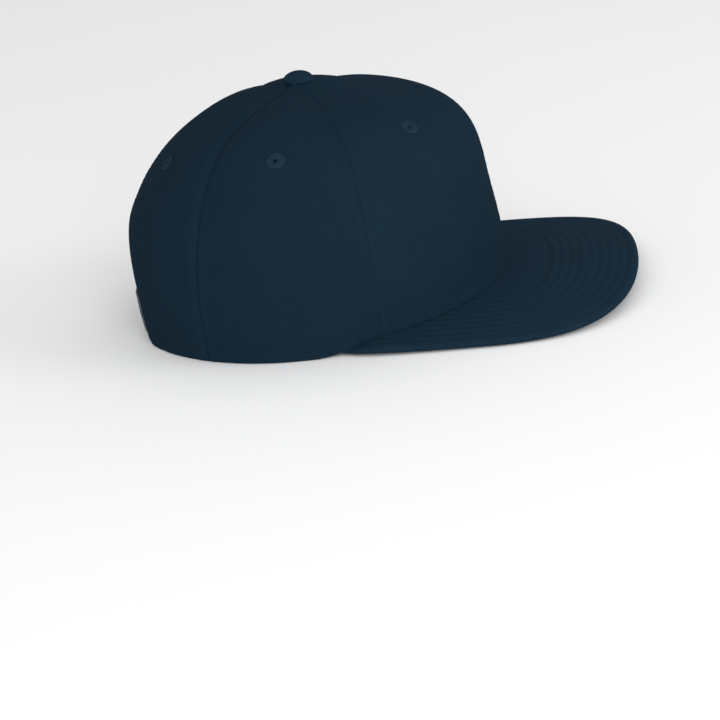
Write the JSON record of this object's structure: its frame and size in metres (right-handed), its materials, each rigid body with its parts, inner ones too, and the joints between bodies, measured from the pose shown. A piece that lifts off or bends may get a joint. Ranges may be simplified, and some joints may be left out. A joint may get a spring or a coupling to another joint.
{
  "type": "snapback cap",
  "caption": "Structured snapback cap with a tall stitched panel crown, a wide nearly flat visor, eyelets, a top button, a sweatband and an arched back opening crossed by a plastic snap strap.",
  "frame": {"origin": "under the middle of the cap's bounding box, on the surface that the cap stands on", "axes": "the visor points to -Y, the wearer's left side is +X and the crown rises along +Z"},
  "size_m": [0.19, 0.2534, 0.1192],
  "materials": {
    "crown_cloth": "matt navy wool-blend twill",
    "visor_cloth": "matt navy twill with rows of stitching",
    "button_cloth": "matt navy twill stretched over the button",
    "eyelet_thread": "satin embroidery thread, a shade lighter than the cloth",
    "band_cloth": "matt cotton band",
    "strap_plastic": "satin navy plastic"
  },
  "bodies": {
    "root": {"panel_front_right": "crown_cloth", "panel_side_right": "crown_cloth", "panel_back_right": "crown_cloth", "panel_front_left": "crown_cloth", "panel_side_left": "crown_cloth", "panel_back_left": "crown_cloth", "eyelet_front_right": "eyelet_thread", "eyelet_side_right": "eyelet_thread", "eyelet_back_right": "eyelet_thread", "eyelet_front_left": "eyelet_thread", "eyelet_side_left": "eyelet_thread", "eyelet_back_left": "eyelet_thread", "button": "button_cloth", "visor": "visor_cloth", "sweatband": "band_cloth", "strap_left": "strap_plastic", "strap_right": "strap_plastic"}
  },
  "joints": []
}
